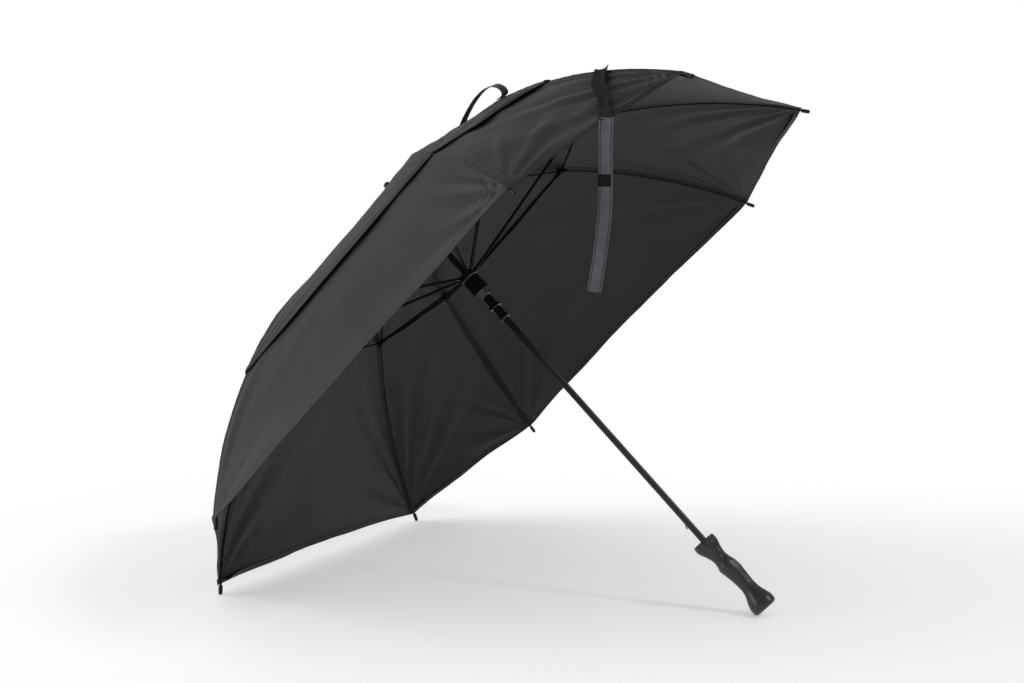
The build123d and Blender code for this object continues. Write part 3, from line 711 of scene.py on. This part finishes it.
# %% [markdown]
# The hard pieces keep the shapes that the frame gives them, and need only their finishes. The ribs and
# stretchers are steel and glass fibre under black lacquer, the shaft is steel tube with a satin black
# coat, the runner and crown are moulded ABS, and the handle is ABS with a slight moulded texture.

# %% Finishes of the hard pieces
def hard_finish(name, low, high, roughness, patch_size, grain_size, grain_depth, metallic=0.0, **more):
    material, tree, shader = new_material(name, high, roughness, metallic, **more)
    where = blotches(tree, shader, low, high, patch_size)
    grain(tree, shader, where.outputs["Object"], grain_size, grain_depth)
    return material


# baked lacquer on drawn steel: dull black with a faint orange-peel, so the ribs read as dark lines
lacquer = hard_finish("black lacquered steel", "#070708", "#0C0C0D", 0.42, 0.05, 0.004, 0.00004,
                      Specular_IOR_Level=0.25)
# powder coat over a steel tube: a satin line of light runs along the shaft
satin_steel = hard_finish("satin black coated steel", "#121113", "#1A191C", 0.36, 0.08, 0.0012, 0.00003)
# ABS from a polished mould: small sharp highlights on every edge
gloss_abs = hard_finish("gloss black moulded ABS", "#0C0C0E", "#121214", 0.2, 0.03, 0.003, 0.00003)
# ABS from an etched mould: 1.4 mm grain, coarser than the real 0.3 mm so that it shows, and soft highlights
grip_abs = hard_finish("fine-textured dark ABS", "#232326", "#2B2B2F", 0.3, 0.04, 0.0014, 0.00006)
# bright zinc plating: the only light metal on the umbrella
spring_wire = hard_finish("zinc-plated spring wire", "#8C8C90", "#A9A9AD", 0.3, 0.01, 0.002, 0.00002,
                          metallic=1.0)
finish_of = {"shaft_tube": satin_steel, "crown_notch": gloss_abs, "crown_ring_wire": spring_wire,
             "canopy_washer": gloss_abs,
             "ferrule_cap": gloss_abs, "runner_body": gloss_abs, "runner_sleeve": gloss_abs,
             "runner_ring_wire": spring_wire,
             "handle_end_cap": grip_abs, "open_catch": spring_wire, "closed_catch": spring_wire}
for k in range(1, rib_count + 1):
    for part_name in (f"inner_rib_{k}", f"outer_rib_{k}", f"stretcher_{k}"):
        finish_of[part_name] = lacquer
for node_name, finish in finish_of.items():
    node = frame["nodes"][node_name]
    for material_slot in node.material_slots:
        material_slot.material = finish
print("finished nodes:", len(finish_of))

# %% [markdown]
# The grip is moulded to the hand. Its sections are the ellipses that the frame uses, and what the frame
# leaves out is added here: a scoop for the thumb in each side of the collar, a long hollow beside each
# side of the palm swell, and the soft ridges between them. A hollow with a firm edge on one side catches
# a small light as a bright line, and that line is what makes a dark grip readable.

# %% Grip with its hollows
handle_length = 0.145
crown_above_butt = 0.9365
grip_lean = math.radians(21.0)
grip_sections = ((0.0, -1.6, 19.6), (10.5, -1.5, 20.0), (24.5, -0.4, 15.1), (36.0, 0.8, 12.5),
                 (46.0, 1.5, 13.7), (54.5, 1.8, 16.0), (65.5, 3.5, 15.6), (82.5, 4.3, 13.7),
                 (99.0, 4.5, 12.7), (110.0, 3.9, 14.2), (121.5, 3.0, 18.4), (131.5, 3.0, 21.5))
grip_depth_share = 0.92
# each hollow: middle and half length along the grip, bearing from the palm and half width, depth
hollows = ((15.0, 13.0, 58.0, 34.0, 2.6), (38.0, 6.0, 62.0, 16.0, 1.1), (76.0, 31.0, 46.0, 26.0, 2.0))


def eased(value):
    value = max(0.0, min(1.0, value))
    return value * value * (3 - 2 * value)


def hollow_depth(below, bearing):
    """Depth in mm of the hollows at a distance below the grip's top and a bearing from the palm."""
    depth = 0.0
    for middle, reach, side, spread, deepest in hollows:
        along = 1 - abs(below - middle) / reach
        around = 1 - abs(abs(bearing) - side) / spread
        if along > 0 and around > 0:
            depth = max(depth, deepest * eased(along * 2.2) * eased(around * 1.8))
    return depth


grip_profile = spline_through([Vector(section) for section in grip_sections], 9)
around_count = 72
grip_points, grip_faces = [], []
for below, lean, half_width in grip_profile:
    for k in range(around_count):
        bearing = 2 * math.pi * k / around_count
        turn = math.degrees(math.atan2(math.sin(bearing), math.cos(bearing)))
        inward = 1 - hollow_depth(below, turn) / half_width
        x = lean + half_width * inward * math.cos(bearing)
        y = half_width * grip_depth_share * inward * math.sin(bearing)
        out = radial(grip_lean) * x / 1000 + radial(grip_lean + math.pi / 2) * y / 1000
        grip_points.append(crown + out + shaft_up * (handle_length - below / 1000 - crown_above_butt))
for i in range(len(grip_profile) - 1):
    for k in range(around_count):
        a, b = i * around_count + k, i * around_count + (k + 1) % around_count
        grip_faces.append((a, a + around_count, b + around_count, b))
last_ring = (len(grip_profile) - 1) * around_count
grip_faces.append(tuple(range(around_count)))
grip_faces.append(tuple(range(last_ring + around_count - 1, last_ring - 1, -1)))
grip_mesh = bpy.data.meshes.new("moulded_grip")
grip_mesh.from_pydata(grip_points, [], grip_faces)
smooth = [True] * (len(grip_faces) - 2) + [False] * 2
grip_mesh.polygons.foreach_set("use_smooth", smooth)
grip_mesh.materials.append(grip_abs)
grip = bpy.data.objects.new("moulded_grip", grip_mesh)
bpy.context.scene.collection.objects.link(grip)
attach(grip, "shaft")
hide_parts("handle_grip")
print("grip rings:", len(grip_profile), "deepest hollow mm:", max(hollow[4] for hollow in hollows))

# %% [markdown]
# The studio has a pale floor, a white background and soft light from large panels. The strongest panel is
# at the left, so that the near side of the canopy is grey and its inside stays dark.

# %% Studio
world = bpy.data.worlds.new("studio")
bpy.context.scene.world = world
world.use_nodes = True
background = world.node_tree.nodes["Background"]
background.inputs["Color"].default_value = linear("#FFFFFF")
background.inputs["Strength"].default_value = 0.46
seen = add_node(world.node_tree, "ShaderNodeBackground", {"Color": linear("#FFFFFF"), "Strength": 1.0})
path = add_node(world.node_tree, "ShaderNodeLightPath")
mix = add_node(world.node_tree, "ShaderNodeMixShader", Fac=path.outputs["Is Camera Ray"])
world.node_tree.links.new(background.outputs[0], mix.inputs[1])
world.node_tree.links.new(seen.outputs[0], mix.inputs[2])
world.node_tree.links.new(mix.outputs[0], world.node_tree.nodes["World Output"].inputs["Surface"])
bpy.context.scene.view_settings.view_transform = "Standard"

bpy.ops.mesh.primitive_plane_add(size=40)
floor = bpy.context.object
floor.name = "floor"
floor_material, floor_tree, floor_shader = new_material("pale matt paint", "#F6F6F6", 0.8)
floor_shader.inputs["Specular IOR Level"].default_value = 0.1
floor_shader.inputs["Emission Color"].default_value = linear("#FFFFFF")
floor_shader.inputs["Emission Strength"].default_value = 0.40
floor.data.materials.append(floor_material)


def soft_sun(name, toward, spread, strength):
    """Even light from one side, as soft as this spread in degrees; toward points at the light."""
    light = bpy.data.lights.new(name, "SUN")
    light.angle = math.radians(spread)
    light.energy = strength
    lamp = bpy.data.objects.new(name, light)
    lamp.rotation_euler = Vector(toward).to_track_quat("Z", "Y").to_euler()
    bpy.context.scene.collection.objects.link(lamp)
    return lamp


soft_sun("left_front", (-0.86, -0.50, 0.12), 50, 2.1)
soft_sun("small_high_right", (0.62, 0.10, 0.75), 9, 0.40)
print("studio ready")

# %% [markdown]
# The camera is level with the umbrella, a little round to the handle's side, with a slightly long lens.

# %% Camera
# place and directions in the umbrella's own terms: along the shaft's plan, across it, and up the shaft
camera_data = bpy.data.cameras.new("camera")
camera_data.sensor_width = 36.0
camera_data.lens = 51.69
camera = bpy.data.objects.new("camera", camera_data)
local_place = (0.8521, -2.2661, 0.0033 - crown_above_butt)
local_right = (0.6404, 0.4183, -0.6442)
local_up = (0.6845, 0.0696, 0.7256)


def to_world(vector):
    x, y, z = vector
    return forward * x + across * y + shaft_up * z


eye = crown + to_world(local_place)
right = to_world(local_right).normalized()
up = to_world(local_up)
back = right.cross(up).normalized()
up = back.cross(right)
camera.matrix_world = Matrix.Translation(eye) @ Matrix((right, up, back)).transposed().to_4x4()
bpy.context.scene.collection.objects.link(camera)
bpy.context.scene.camera = camera
print("camera at", [round(v, 3) for v in eye])
